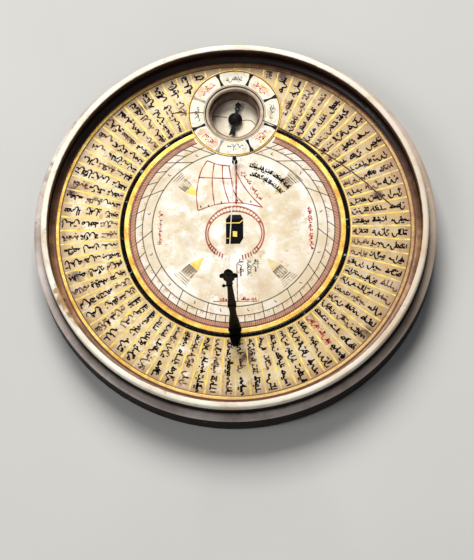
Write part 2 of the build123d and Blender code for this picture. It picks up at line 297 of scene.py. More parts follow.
def tan_varnish(name, dark, mid, pale, shaded=False):
    f = Finish(name, coat=0.15, coat_roughness=0.3, specular=0.35)
    mottle = f.noise(70, 7, 0.6)
    base = f.ramp(mottle, (0.3, dark), (0.55, mid), (0.78, pale))
    # Painted shade: when asked for, the varnish darkens to near black towards the back, where the back wall
    # shades it.
    if shaded:
        back_shade = f.times(f.across("Y", -40, 80), 0.96)
        base = f.mix(back_shade, base, (12, 6, 4))
    base = f.patches(base, (200, 8, 0.75), 0.58, 0.66, (60, 34, 20))
    return f.done(base, (mottle, 0.35, 0.55), f.noise(380, 5), 0.08, 0.5)


def place_paper():
    """Yellow-buff varnished paper, browner at both borders, with rubbed pale patches and brown stains."""
    f = Finish("place_paper", coat=0.3, coat_roughness=0.25)
    cloud = f.noise(24, 6, 0.6)
    fibre = f.noise(900, 4, 0.6)
    base = f.ramp(cloud, (0.32, (200, 168, 116)), (0.5, (224, 198, 150)), (0.70, (240, 222, 180)))
    base = f.patches(base, (75, 8, 0.74), 0.52, 0.62, (250, 243, 226))
    base = f.mix(f.step(f.noise(105, 8, 0.76, distortion=0.8), 0.53, 0.64), base, (182, 134, 82))
    base = f.patches(base, (230, 6, 0.72), 0.55, 0.66, (250, 226, 124))
    base = f.patches(base, (300, 8, 0.78), 0.60, 0.68, (126, 84, 48))
    # Painted shade: the paper turns tan towards the right, the side away from the light.
    base = f.mix(f.times(f.across("X", -60, 110), 0.56), base, (176, 138, 84))
    edge = f.ramp(f.math("DIVIDE", f.radius(), 150), (0.60, 0.45), (0.66, 0.0), (0.84, 0.0), (0.925, 0.75))
    base = f.mix(edge, base, (150, 100, 56))
    ragged = f.noise(110, 7, 0.7)
    for centre, size in (((101, -86), 10), ((-127, 33), 9), ((10, -104), 13), ((112, 26), 8),
                         ((-72, 103), 10), ((-122, -38), 8), ((38, 128), 9)):
        base = f.mix(f.step(f.spot(centre, size, ragged), 0.3, 0.85), base, (86, 44, 20))
    return f.done(base, (cloud, 0.40, 0.60), f.add(fibre, f.noise(160, 6)), 0.06, 0.45)


def ivory_paper():
    """Ivory ground with near-white rubbed clouds, tan blotches and foxing."""
    f = Finish("ivory_paper", coat=0.3, coat_roughness=0.25)
    cloud = f.noise(30, 7, 0.68)
    rubbed = f.noise(64, 7, 0.70, distortion=0.3)
    base = f.ramp(cloud, (0.34, (216, 196, 158)), (0.50, (238, 227, 202)), (0.66, (247, 241, 226)))
    base = f.mix(f.step(rubbed, 0.47, 0.60), base, (255, 254, 251))
    base = f.patches(base, (85, 8, 0.76), 0.54, 0.66, (212, 184, 140))
    base = f.patches(base, (330, 8, 0.76), 0.60, 0.70, (172, 132, 92))
    # Tan towards the lower right.
    lower_right_tan = f.times(f.across("X", 0, 70), f.across("Y", 20, -60))
    base = f.mix(f.times(lower_right_tan, 0.8), base, (210, 180, 130))
    handled = f.ramp(f.math("DIVIDE", f.radius(), 100.0), (0.60, 0.0), (0.68, 0.3))
    base = f.mix(handled, base, (212, 186, 148))
    ragged = f.noise(70, 8, 0.72)
    for centre, size in (((2, 46), 14), ((20, -46), 22), ((-36, -12), 14), ((46, 10), 14), ((-22, -44), 13)):
        stain = f.times(f.step(f.spot(centre, size, ragged), 0.35, 1.5), 0.55)
        base = f.mix(stain, base, (196, 160, 112))
    return f.done(base, (rubbed, 0.38, 0.62), f.add(f.noise(900, 4), f.noise(150, 6)), 0.06, 0.45)


def plate_paper():
    f = Finish("plate_paper", coat=0.35, coat_roughness=0.2)
    cloud = f.noise(90, 7, 0.65)
    base = f.ramp(cloud, (0.34, (226, 210, 180)), (0.55, (247, 241, 228)), (0.75, (254, 252, 246)))
    base = f.patches(base, (200, 8, 0.76), 0.55, 0.66, (206, 178, 138))
    return f.done(base, (cloud, 0.34, 0.55), f.noise(500, 5), 0.05, 0.5)


def card_paper():
    """Cream-grey compass floor, darker towards the wall as painted shade in the corner of the bowl."""
    f = Finish("card_paper", roughness=0.6)
    cloud = f.noise(110, 6, 0.6)
    base = f.ramp(cloud, (0.3, (236, 220, 190)), (0.7, (255, 247, 228)))
    # Painted shade: the floor darkens towards the bowl's wall, where the wall shades it.
    dust = f.ramp(f.math("DIVIDE", f.radius(COMPASS), 18.0), (0.80, 0.0), (1.0, 0.5))
    base = f.mix(dust, base, (150, 120, 98))
    return f.done(base, None, f.noise(700, 5), 0.05, 0.4)


def bowl_paint():
    f = Finish("bowl_paint", roughness=0.55)
    mottle = f.noise(140, 7, 0.65)
    base = f.ramp(mottle, (0.3, (70, 46, 36)), (0.7, (124, 94, 78)))
    return f.done(base, None, f.noise(500, 5), 0.06, 0.5)


def gold_leaf(name="gold_leaf", border=False):
    """Burnished leaf with cloudy lay lines, red bole rubbing through and fine scratches.
    The border's leaf is worn to tan in front, and turns darker brown at the back and right as painted shade:
    the back wall's shadow and the side away from the light."""
    f = Finish(name, metallic=0.55, coat=0.3, coat_roughness=0.12)
    lay = f.noise(90, 6, 0.6)
    rub = f.noise(210, 8, 0.75)
    base = f.ramp(lay, (0.3, (196, 138, 54)), (0.5, (230, 190, 86)), (0.72, (250, 230, 142)))
    if border:
        base = f.mix(f.times(f.across("X", -90, 0), 0.75), base, (236, 200, 138))
        # Painted shade: brown at the back, where the back wall's shadow falls, and on the right, away from
        # the light.
        back = f.times(f.across("X", -80, 40), f.across("Y", 20, 110))
        side = f.times(f.across("X", 70, 138), 0.65)
        dull = f.times(f.math("MAXIMUM", back, side), f.ramp(f.noise(160, 7), (0.3, 1.0), (0.7, 0.6)))
        base = f.mix(dull, base, (96, 50, 32))
    base = f.mix(f.step(rub, 0.57, 0.68), base, (150, 84, 30))
    f.set("Roughness", f.ramp(rub, (0.35, 0.30), (0.75, 0.55)))
    return f.done(base, None, f.add(lay, f.noise(620, 5)), 0.08, 0.5)


def black_lacquer():
    """Gloss black moulding with pale blue-white flecks: flaked places where the pale ground shows, and
    painted glints of light.
    """
    f = Finish("black_lacquer", coat=0.25, coat_roughness=0.08, specular=0.1)
    # The pale blue-white flecks stand both for flaked lacquer and for painted glints.
    flake_and_glint = f.step(f.noise(150, 7, 0.8), 0.615, 0.635)
    dust = f.noise(240, 7, 0.7)
    base = f.ramp(dust, (0.4, (2, 2, 3)), (0.9, (24, 16, 14)))
    base = f.mix(flake_and_glint, base, (206, 210, 220))
    return f.done(base, (dust, 0.12, 0.34), f.noise(120, 4), 0.12, 0.6)


def blackened_metal():
    """Blackened brass with brown wear and file marks."""
    f = Finish("blackened_metal", specular=0.07)
    patch = f.noise(150, 7, 0.7)
    base = f.ramp(patch, (0.35, (2, 2, 2)), (0.62, (7, 6, 5)), (0.82, (58, 38, 24)))
    height = f.add(f.noise(900, 4, stretch=(1.0, 1.0, 0.2)), patch)
    return f.done(base, (patch, 0.46, 0.66), height, 0.08, 0.6)


def blued_steel():
    f = Finish("blued_steel", specular=0.08)
    patch = f.noise(320, 7, 0.7)
    base = f.ramp(patch, (0.35, (2, 2, 3)), (0.62, (8, 7, 8)), (0.82, (66, 30, 22)))
    return f.done(base, (patch, 0.44, 0.64), patch, 0.05, 0.5)


def pivot_brass():
    f = Finish("pivot_brass", metallic=1.0)
    patch = f.noise(500, 5, 0.6)
    base = f.ramp(patch, (0.3, (160, 118, 56)), (0.7, (226, 184, 100)))
    return f.done(base, (patch, 0.22, 0.4), patch, 0.03, 0.5)


def silk_thread():
    """Off-white twisted silk, soiled along its length."""
    f = Finish("silk_thread", roughness=0.75)
    soil = f.noise(120, 6, 0.6)
    base = f.ramp(soil, (0.3, (206, 184, 162)), (0.6, (236, 222, 206)), (0.8, (248, 240, 230)))
    f.set("Sheen Weight", 0.4)
    return f.done(base, None, f.noise(2600, 3), 0.04, 0.8)


def clear_glass():
    f = Finish("clear_glass", roughness=0.04, specular=0.2)
    dust = f.noise(260, 7, 0.7)
    f.set("Alpha", f.ramp(dust, (0.5, 0.002), (0.85, 0.02)))
    return f.done((226, 232, 230), None, f.noise(60, 3), 0.02, 0.4)


def paint(name, dark, light, fade=None, fade_from=0.62, roughness=0.5, metallic=0.0, coat=0.12, specular=0.3):
    """Brushed colour or ink that thins to a paler tone in rubbed places."""
    f = Finish(name, metallic=metallic, coat=coat, coat_roughness=0.25, specular=specular)
    tone = f.noise(160, 7, 0.65)
    base = f.ramp(tone, (0.32, dark), (0.68, light))
    if fade is not None:
        base = f.patches(base, (96, 8, 0.7), fade_from, fade_from + 0.09, fade)
    return f.done(base, (tone, roughness - 0.08, roughness + 0.08), f.noise(800, 4), 0.03, 0.4)


# ======== mesh tools ========
def add_piece(name, points, faces, material, slot, replaces=None):
    """A mesh piece, in metres, that rides on the tray. One that stands for a CAD node is shaded smooth."""
    mesh = bpy.data.meshes.new(name)
    mesh.from_pydata(points, [], faces)
    mesh.validate()
    mesh.materials.append(material)
    piece = bpy.data.objects.new(name, mesh)
    bpy.context.scene.collection.objects.link(piece)
    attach(piece, "tray")
    if replaces:
        mesh.polygons.foreach_set("use_smooth", [True] * len(mesh.polygons))
        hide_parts(replaces)
    return piece


class Layer:
    """A coat of paint or ink on the tray: closed flat shapes, in millimetres, gathered into one mesh."""
    coats = []

    def __init__(self, name, material, slot="ivory_paper", ground=DIAL_Z):
        self.name, self.material, self.slot, self.ground = name, material, slot, ground
        self.points, self.faces = [], []
        Layer.coats.append(self)

    def prism(self, outline, top=FILL_Z):
        """A slab over an anticlockwise outline that is convex, or nearly so."""
        low, high = self.ground - SINK, self.ground + top
        start, count = len(self.points), len(outline)
        self.points += [(x, y, z) for z in (low, high) for x, y in outline]
        self.faces.append([start + i for i in reversed(range(count))])
        self.faces.append([start + count + i for i in range(count)])
        for i in range(count):
            j = (i + 1) % count
            self.faces.append([start + i, start + j, start + count + j, start + count + i])

    def ribbon(self, line, widths, top=LINE_Z, closed=False):
        """A strip of varying width along a line, whose ends meet where it is closed."""
        low, high = self.ground - SINK, self.ground + top
        count = len(line)
        if not hasattr(widths, "__len__"):
            widths = [widths] * count
        left, right = [], []
        for i, (x, y) in enumerate(line):
            before = line[i - 1] if i or closed else line[0]
            after = line[(i + 1) % count] if i < count - 1 or closed else line[-1]
            dx, dy = after[0] - before[0], after[1] - before[1]
            size = math.hypot(dx, dy) or 1.0
            half = widths[i] / 2
            left.append((x - dy / size * half, y + dx / size * half))
            right.append((x + dy / size * half, y - dx / size * half))
        start = len(self.points)
        for level in (low, high):
            for i in range(count):
                self.points += [(*right[i], level), (*left[i], level)]
        upper = 2 * count
        for i in range(count if closed else count - 1):
            j = (i + 1) % count
            r0, l0, r1, l1 = (start + 2 * i, start + 2 * i + 1, start + 2 * j, start + 2 * j + 1)
            self.faces.append([r0, l0, l1, r1])
            self.faces.append([r0 + upper, r1 + upper, l1 + upper, l0 + upper])
            self.faces.append([r0, r1, r1 + upper, r0 + upper])
            self.faces.append([l1, l0, l0 + upper, l1 + upper])
        if not closed:
            first, last = start, start + 2 * (count - 1)
            self.faces.append([first, first + upper, first + upper + 1, first + 1])
            self.faces.append([last, last + 1, last + upper + 1, last + upper])

    def circle(self, centre, radius, width, steps):
        self.ribbon([polar(centre, radius, 360 * i / steps) for i in range(steps)], width, closed=True)

    def dial_circle(self, radius, width, steps=360, top=LINE_Z, margin=PLATE_MARGIN):
        """A circle round the dial's middle, broken where the compass plate lies on it."""
        line = [polar((0, 0), radius, 90 + 360 * i / steps) for i in range(steps + 1)]
        for run in clear_runs(line, lambda point: outside_plate(point, margin)):
            self.ribbon(run, width, top)

    def build(self):
        add_piece(self.name, [Vector(p) * MM for p in self.points], self.faces, self.material, self.slot)


def polar(centre, radius, degrees):
    angle = math.radians(degrees)
    return (centre[0] + radius * math.cos(angle), centre[1] + radius * math.sin(angle))


def smooth_line(points, per_span=8):
    """A Catmull-Rom curve through given points."""
    ends = [points[0]] + list(points) + [points[-1]]
    line = []
    for i in range(1, len(ends) - 2):
        p0, p1, p2, p3 = (Vector(p) for p in ends[i - 1:i + 3])
        for k in range(per_span):
            t = k / per_span
            line.append(tuple(0.5 * (2 * p1 + (p2 - p0) * t + (2 * p0 - 5 * p1 + 4 * p2 - p3) * t * t
                                     + (3 * p1 - p0 - 3 * p2 + p3) * t ** 3)))
    line.append(tuple(points[-1]))
    return line


def outside_plate(point, margin=PLATE_MARGIN):
    return math.hypot(point[0] - COMPASS.x, point[1] - COMPASS.y) > PLATE_OUT + margin


def clear_runs(line, keep):
    """The stretches of a line whose points all pass a test."""
    runs, run = [], []
    for point in line:
        if keep(point):
            run.append(point)
        else:
            if len(run) > 1:
                runs.append(run)
            run = []
    if len(run) > 1:
        runs.append(run)
    return runs


# ======== made-up pen writing: no real letters ========
LETTERS = {
    "tooth": (0.22, 0.34, ((0.35, 0.30), (0.65, 0.05), (1, 0))),
    "hump": (0.4, 0.6, ((0.2, 0.34), (0.65, 0.40), (1, 0))),
    "ring": (0.38, 0.5, ((0.9, 0.12), (0.8, 0.46), (0.25, 0.40), (0.3, 0.06), (1, 0))),
    "bowl": (0.62, 0.9, ((0.08, -0.22), (0.42, -0.48), (0.82, -0.34), (1, 0.10))),
    "flat": (0.35, 0.65, ((0.5, -0.05), (1, 0.03))),
}


def letter(rng, kind, u, h):
    """Points of one invented joined letter from u onwards, and where the next one starts."""
    narrow, wide, points = LETTERS[kind]
    w = rng.uniform(narrow, wide) * h
    return [(u + x * w, y * h) for x, y in points], u + w


def pen_word(rng, length, h):
    """Pen strokes of an invented word along +u: joined letters, bowls, uprights, a slanted bar and dots."""
    strokes, dots = [], []
    u, line = 0.0, [(0.0, rng.uniform(0.1, 0.35) * h), (0.06 * h, 0.0)]
    while u < length:
        kind = rng.choice(("tooth", "tooth", "hump", "ring", "bowl", "flat"))
        points, after = letter(rng, kind, max(u, line[-1][0]), h)
        if after > length + 0.15 * h:
            break
        line += points
        u = after
        if kind == "bowl" or rng.random() < 0.15:
            strokes.append(smooth_line(line, 3))
            u += 0.12 * h
            line = [(u, rng.uniform(0.2, 0.4) * h), (u + 0.05 * h, 0.0)]
        if rng.random() < 0.42:
            dots.append((u - 0.2 * h, rng.choice((-0.36, 0.66, 0.74)) * h))
            if rng.random() < 0.5:
                dots.append((dots[-1][0] - 0.26 * h, dots[-1][1]))
    if len(line) > 2:
        strokes.append(smooth_line(line, 3))
    for _ in range(rng.choice((1, 2, 2, 3))):
        foot = rng.uniform(0.02, 0.98) * length
        tall = rng.uniform(0.75, 1.1) * h
        lean = rng.uniform(-0.12, 0.10) * h
        strokes.append([(foot, 0.0), (foot + 0.3 * lean, 0.4 * tall), (foot + 0.7 * lean, 0.8 * tall),
                        (foot + lean, tall)])
    if rng.random() < 0.3:
        foot = rng.uniform(0.1, 0.5) * length
        strokes.append(smooth_line([(foot + 0.9 * h, 1.0 * h), (foot + 0.3 * h, 0.72 * h),
                                    (foot + 0.6 * h, 0.42 * h)], 3))
    return strokes, dots


def write(layer, rng, place, length, height, pen, keep=None):
    """Writes an invented word with a broad nib. place turns (along, up) into dial coordinates."""
    strokes, dots = pen_word(rng, length, height)
    for stroke in strokes:
        line = [place(u, v) for u, v in stroke]
        if keep and not all(keep(p) for p in line):
            continue
        widths = []
        for i in range(len(stroke)):
            a, b = stroke[max(i - 1, 0)], stroke[min(i + 1, len(stroke) - 1)]
            slant = math.atan2(b[1] - a[1], b[0] - a[0]) - math.radians(50)
            end = 0.6 if i in (0, len(stroke) - 1) else 1.0
            widths.append(pen * end * (0.40 + 0.60 * abs(math.sin(slant))))
        layer.ribbon(line, widths, INK_Z)
    for u, v in dots:
        half = pen * 0.62
        outline = [place(u + a, v + b) for a, b in ((half, 0), (0, half), (-half, 0), (0, -half))]
        if keep and not all(keep(p) for p in outline):
            continue
        layer.prism(outline, INK_Z)


def straight_place(origin, angle):
    """A straight baseline at that angle."""
    along = Vector(polar((0, 0), 1, angle))
    up = Vector((-along.y, along.x))

    def place(u, v):
        return tuple(Vector(origin) + along * u + up * v)
    return place


def radial_place(angle, start):
    """A baseline that runs outwards along a radius of the dial."""
    return straight_place(polar((0, 0), start, angle), angle)


def arc_place(centre, radius, start):
    """A baseline that runs clockwise round a centre, with up pointing outwards."""
    def place(u, v):
        return polar(centre, radius + v, start - math.degrees(u / radius))
    return place


# ======== place list ========
def free_stretches(angle):
    """The stretches of a row, along its radius, that the compass plate leaves free."""
    radii = [ROW_IN_R + (ROW_OUT_R - ROW_IN_R) * i / ROW_STEPS for i in range(ROW_STEPS + 1)]
    runs = clear_runs(radii, lambda radius: outside_plate(polar((0, 0), radius, angle), ROW_MARGIN))
    return [(run[0], run[-1]) for run in runs if run[-1] - run[0] > 3]


def place_rows():
    """Invented words in each five-degree row, three to a full row, and gilt lines between the rows."""
    rng = random.Random(72)
    ink = Layer("place_list_writing", INK, "buff_paper")
    pale_ink = Layer("place_list_worn_writing", BROWN_INK, "buff_paper")
    red = Layer("place_list_red_row", RED_INK, "buff_paper")
    gold = Layer("place_list_gilt_lines", STREAK_GOLD, "gilt")
    pitch = 360 / ROW_COUNT
    red_row = round(305 / pitch)
    for row in range(ROW_COUNT):
        line = []
        for i in range(31):
            bend = 0.05 * math.sin(0.4 * i + row)
            line.append(polar((0, 0), ROW_IN_R + (ROW_OUT_R - ROW_IN_R) * i / 30, row * pitch + bend))
        for run in clear_runs(line, outside_plate):
            phase = rng.uniform(0, 6)
            gold.ribbon(run, [1.05 + 0.45 * math.sin(0.9 * i + phase) + 0.1 * math.sin(3.1 * i)
                              for i in range(len(run))])
        middle = (row + 0.5) * pitch
        for low, high in free_stretches(middle):
            count = max(1, round((high - low) / WORD_LENGTH))
            step = (high - low) / count
            for word in range(count):
                reach = low + step * word + rng.uniform(0.3, 1.2)
                length = step - rng.uniform(1.2, 2.6)
                room = math.radians(pitch) * (reach + length / 2)
                angle = middle - math.degrees(0.13 * room / (reach + length / 2)) + rng.uniform(-0.25, 0.25)
                target = red if row == red_row and word < 2 else pale_ink if rng.random() < 0.2 else ink
                place = radial_place(angle, reach)
                write(target, rng, place, length, 0.42 * room, 0.13 * room, outside_plate)


def border_lines():
    """Fine coloured circles between the rings of the dial."""
    brown = Layer("border_fine_lines", BROWN_INK, "buff_paper")
    dark = Layer("scale_dark_line", DARK_RED)
    tan = Layer("place_list_inner_line", YELLOW_GOLD, "gilt")
    brown.circle((0, 0), ROW_OUT_R + 0.5, 0.7, 240)
    dark.circle((0, 0), BORDER_OUT_R, 0.8, 240)
    tan.dial_circle(ROW_IN_R - 0.5, 0.8)
    dark.dial_circle(TICK_OUT_R, 1.1)


# ======== hour scale ========
def hour_ray(hour_angle):
    """Direction from the peg of a sundial's line for that hour angle, in degrees from south."""
    h = math.radians(hour_angle)
    return math.degrees(math.atan2(math.sin(LATITUDE) * math.sin(h), math.cos(h)))


def on_ring(hour_angle, radius):
    """Where the peg's ray for an hour angle crosses a ring of the dial."""
    bearing = math.radians(-90 + hour_ray(hour_angle))
    dx, dy = math.cos(bearing), math.sin(bearing)
    dot = PEG.x * dx + PEG.y * dy
    far = -dot + math.sqrt(dot * dot - PEG.length_squared + radius * radius)
    return (PEG.x + far * dx, PEG.y + far * dy)


def hour_scale():
    """Hour cells, twenty-minute cells and four-minute ticks, all on rays from the peg."""
    rng = random.Random(41)
    green = Layer("hour_cell_lines", GREEN_GREY)
    brown = Layer("part_cell_lines", BROWN_INK)
    ticks = Layer("minute_ticks", DARK_RED)
    figures = Layer("hour_figures", INK)
    small = Layer("part_figures", RED_INK)
    green.dial_circle(HOUR_IN_R, 0.95, 240)
    green.dial_circle(HOUR_OUT_R, 0.85, 240)
    brown.dial_circle(PART_OUT_R, 0.9, 240)
    for hour_angle in range(-112, 113):
        ends = [on_ring(hour_angle, r) for r in (HOUR_IN_R, HOUR_OUT_R, PART_OUT_R, TICK_OUT_R - 0.4)]
        if not all(outside_plate(p) for p in ends):
            continue
        ticks.ribbon(ends[2:], 0.30 if hour_angle % 5 else 0.5)
        if hour_angle % 5 == 0:
            brown.ribbon(ends[1:3], 0.7)
        if hour_angle % 15 == 0:
            green.ribbon(ends[:2], 0.8)
    for part in range(-22, 22):
        middle = part * 5 + 2.5
        inner, outer = (Vector(on_ring(middle, r)) for r in (HOUR_OUT_R, PART_OUT_R))
        if not outside_plate(outer, 3) or not outside_plate(inner, 3):
            continue
        turn = math.degrees(math.atan2(inner.y, inner.x)) + 90
        place = straight_place(inner.lerp(outer, 0.35) - Vector(polar((0, 0), 1.3, turn)), turn)
        for u in (0.4, 1.9):
            small.ribbon([place(u, 0), place(u + rng.uniform(0.1, 0.6), 0.9), place(u + 0.3, 1.9)], 0.38)
    for hour in range(-7, 7):
        middle = hour * 15 + 7.5
        centre = Vector(on_ring(middle, (HOUR_IN_R + HOUR_OUT_R) / 2))
        if not outside_plate(centre, 5):
            continue
        place = straight_place(centre, math.degrees(math.atan2(centre.y, centre.x)) + 90)
        bend = rng.choice((-0.9, 0.9))
        hook = [place(-0.7, 1.1), place(bend, 0.3), place(0.2, -1.2)]
        figures.ribbon(smooth_line(hook, 4), 0.55)


def tick_band():
    """The rose-brown wash behind the minute ticks."""
    wash = Layer("minute_band_wash", ROSE_WASH)
    wash.dial_circle((PART_OUT_R + TICK_OUT_R) / 2, TICK_OUT_R - PART_OUT_R, top=FILL_Z, margin=1.2)


# ======== hour-line fan, medallion and side paintings ========
FAN_LINES = (
    ((-21.6, 56.8), (-12.5, 53.2), (-3.0, 52.0)),
    ((-28.4, 42.8), (-15.5, 42.0), (-2.0, 41.4)),
    ((-28.8, 15.0), (-16.1, 19.4), (-4.4, 21.0), (8.0, 20.3), (21.6, 16.8)),
    ((-21.6, 56.8), (-26.0, 49.1), (-28.8, 38.0), (-29.9, 27.0), (-28.8, 15.0)),
    ((-16.1, 54.6), (-17.6, 41.8), (-17.3, 30.8), (-15.8, 19.6)),
    ((-9.6, 53.0), (-9.5, 42.5), (-7.8, 32.3), (-4.4, 21.0)),
    ((-4.6, 52.2), (-2.6, 40.5), (-1.0, 31.5), (2.0, 25.5), (6.8, 20.2)),
    ((1.2, 46.8), (5.8, 37.0), (12.5, 27.0), (21.6, 16.8)),
)


def hour_fan():
    """The curved net of hour lines beside the thread."""
    lines = Layer("hour_fan_lines", LINE_RED)
    for points in FAN_LINES:
        line = smooth_line(points)
        lines.ribbon(line, [0.85 + 0.2 * math.sin(7 * i) for i in range(len(line))])


def noon_line():
    """The meridian, and the crossing line below the middle."""
    lines = Layer("noon_line", LINE_RED)
    for points, width in ((((1.2, 52.4), (1.0, 19.8)), 1.3), (((1.4, -29.5), (1.9, -60.5)), 0.8),
                          (((-17, -60.0), (17, -60.4)), 0.7)):
        line = [tuple(Vector(points[0]).lerp(Vector(points[1]), i / 12)) for i in range(13)]
        lines.ribbon(line, [width * (1 + 0.25 * math.sin(3 * i)) for i in range(13)])


def field_writing():
    """Invented writing on the ivory field: an arched black block, red lines by the fan and at the sides."""
    rng = random.Random(9)
    black = Layer("field_writing_black", INK)
    faint = Layer("field_writing_faint", GREEN_GREY)
    faint_red = Layer("field_writing_faint_red", FAINT_RED)
    red = Layer("field_writing_red", RED_INK)
    for radius, start, end in ((52.5, 77.5, 42.0), (45.6, 75.0, 43.0)):
        angle = start
        while angle > end:
            length = rng.uniform(4.4, 6.0)
            for pen in (0.85, 0.6):
                write(black, rng, arc_place((0, 0), radius, angle), length, 3.5, pen)
            angle -= math.degrees((length + 0.2) / radius)
    pitch = 7.2
    for start, turn, words, size, target in (
            ((5.0, 46.5), -58, 4, 2.5, red), ((-58.0, 15.0), -92, 4, 2.1, faint_red),
            ((57.5, 16.5), -87, 5, 1.9, red), ((5.0, -59.0), -1, 2, 2.2, red),
            ((-11.5, -59.0), -1, 1, 1.6, red)):
        place = straight_place(start, turn)
        for word in range(words):
            write(target, rng, straight_place(place(word * pitch, 0), turn), pitch - 0.6, size * 1.15, 0.8)
    for x, y in ((-26.6, 18.0), (-20.5, 18.6), (-10.5, 21.4), (2.0, 22.8), (12.5, 21.6)):
        black.ribbon([(x - 0.5, y + 0.9), (x + 0.2, y + 0.3), (x - 0.1, y - 0.8)], 0.8, INK_Z)
    for x, y, length in ((3.6, -26.0, 15.0), (9.6, -27.0, 13.0), (15.2, -26.0, 11.0)):
        write(faint, rng, straight_place((x, y), -88), length, 3.4, 0.8)


def medallion_frame():
    """A red circle and an inner oval that meet at the sides, beaded between them above and hatched below."""
    lines = Layer("medallion_circles", LINE_RED)
    beads = Layer("medallion_beads", BEAD_CREAM)
    outer, inner_x, inner_y = 22.6, 21.0, 18.4

    def at(rx, ry, degrees):
        return (MEDALLION.x + rx * math.cos(math.radians(degrees)),
                MEDALLION.y + ry * math.sin(math.radians(degrees)))

    for rx, ry, width in ((outer, outer, 1.15), (inner_x, inner_y, 1.0)):
        lines.ribbon([at(rx, ry, -48 + 2.76 * i) for i in range(101)], width)
    band, widths = [], []
    for i in range(41):
        angle = 24 + 132 * i / 40
        inner_edge, outer_edge = Vector(at(inner_x, inner_y, angle)), Vector(at(outer, outer, angle))
        band.append(tuple((inner_edge + outer_edge) / 2))
        widths.append((outer_edge - inner_edge).length)
    lines.ribbon(band, widths, FILL_Z)
    for i in range(17):
        angle = 33 + 114 * i / 16
        gap = Vector(at(outer, outer, angle)) - Vector(at(inner_x, inner_y, angle))
        size = 0.36 * gap.length
        centre = at((outer + inner_x) / 2, (outer + inner_y) / 2, angle)
        beads.prism([polar(centre, size, 30 * k) for k in range(12)], BEAD_Z)
    for start in (206, 286):
        for i in range(7):
            angle = start + 6.2 * i
            lines.ribbon([at(outer, outer, angle), at(inner_x, inner_y, angle)], 1.1)


def cube_painting():
    """A black draped cube with a gilt band and door, painted in simple perspective."""
    left, right, foot, brow, roof = -7.0, 6.5, -13.2, 7.6, 11.0
    black = Layer("cube_walls", BLACK_PAINT, "black_lacquer")
    navy = Layer("cube_roof", NAVY_PAINT, "black_lacquer")
    gold = Layer("cube_gilding", YELLOW_GOLD, "gilt")
    black.prism([(left, foot), (3.8, foot), (right, -8.6), (right, brow), (left, brow)])
    navy.prism([(left, brow), (right, brow), (4.4, roof), (-4.0, roof)])
    gold.ribbon([(left, 4.2), (3.6, 4.2), (right + 0.3, 7.0)], [0.8, 0.8, 0.7], GOLD_Z)
    gold.prism([(-1.6, -7.0), (1.7, -7.4), (1.7, -3.0), (-1.6, -2.6)], GOLD_Z)
    gold.ribbon([(left + 0.3, -8.4), (-4.4, -8.4)], 0.5, GOLD_Z)


def gate_paintings():
    """Four small gate towers on the diagonals, roofs towards the middle, two of them rubbed paler."""
    roofs = Layer("gate_roofs", PALE_GOLD, "gilt")
    worn_roofs = Layer("gate_roofs_worn", WORN_GOLD, "gilt")
    walls = Layer("gate_walls", GATE_BROWN)
    steps = Layer("gate_steps", STONE_PAINT)
    for angle, start, size, worn in ((42, 40, 0.95, True), (137, 38.5, 0.95, False),
                                     (225, 33.5, 1.05, False), (314, 35, 1.0, True)):
        place = radial_place(angle, start)
        roof = [(0, 0), (10.6, -4.3), (11.4, 0), (10.6, 4.3)]
        (worn_roofs if worn else roofs).prism([place(u * size, v * size) for u, v in roof])
        tower = ((11.2, -4.4), (18.8, -5.0), (18.8, 5.0), (11.2, 4.4))
        steps.prism([place(u * size, v * size) for u, v in tower])
        for v in (-3.6, -1.8, 0.0, 1.8, 3.6):
            walls.ribbon([place(11.4 * size, v * size), place(18.6 * size, v * 1.1 * size)], 1.15 * size)
        for k in range(5 if worn else 4):
            u, half = (19.4 + 1.8 * k) * size, (4.6 + 0.7 * k) * size
            target = walls if k < 2 and worn else steps
            target.ribbon([place(u, -half), place(u, half)], size, FILL_Z)


# ======== compass plate ========
def plate_cartouches():
    """Eight name panels, four white and four rose, parted by navy bow-tie ornaments."""
    rng = random.Random(8)
    white = Layer("plate_panels_white", PANEL_WHITE, "plate_paper", PLATE_Z)
    rose = Layer("plate_panels_rose", PANEL_ROSE, "plate_paper", PLATE_Z)
    rims = Layer("plate_panel_rims", PALE_GOLD, "gilt", PLATE_Z)
    navy = Layer("plate_bow_ties", NAVY_PAINT, "black_lacquer", PLATE_Z)
    worn = Layer("plate_bow_ties_worn", WORN_NAVY, "plate_paper", PLATE_Z)
    black = Layer("plate_writing_dark", GREEN_BLACK, "plate_paper", PLATE_Z)
    red = Layer("plate_writing_red", RED_INK, "plate_paper", PLATE_Z)
    gold = Layer("plate_writing_gold", YELLOW_GOLD, "gilt", PLATE_Z)
    inner, outer, half = 25.6, 35.2, 16.5
    middle = (inner + outer) / 2
    for k in range(8):
        axis = 90 - 45 * k
        panel = [polar(COMPASS, outer, axis - half + 3 + (2 * half - 6) * i / 10) for i in range(11)]
        panel.append(polar(COMPASS, middle, axis + half + 3))
        panel += [polar(COMPASS, inner, axis + half - 2 - (2 * half - 4) * i / 10) for i in range(11)]
        panel.append(polar(COMPASS, middle, axis - half - 3))
        (rose if k % 2 else white).prism(panel)
        rims.ribbon(panel, 0.25, closed=True)
        turn = axis - 22.5
        radii = (outer + 0.4, middle + 1.2, middle - 1.2, inner - 0.6)
        bow = [polar(COMPASS, radius, turn) for radius in radii]
        (worn if k in (4, 6) else navy).ribbon(bow, [3.8, 1.5, 1.5, 2.8])
        place = arc_place(COMPASS, middle - 2.0, axis + 13)
        write(red if k % 2 else black, rng, place, 12.5, 3.9, 0.68)
        if k % 2:
            write(gold, rng, arc_place(COMPASS, middle + 1.2, axis + 10), 10.5, 2.6, 0.8)


def plate_circles():
    lines = Layer("plate_dark_circles", BROWN_INK, "plate_paper", PLATE_Z)
    for radius, width in ((24.3, 0.45), (35.7, 0.5)):
        lines.circle(COMPASS, radius, width, 120)


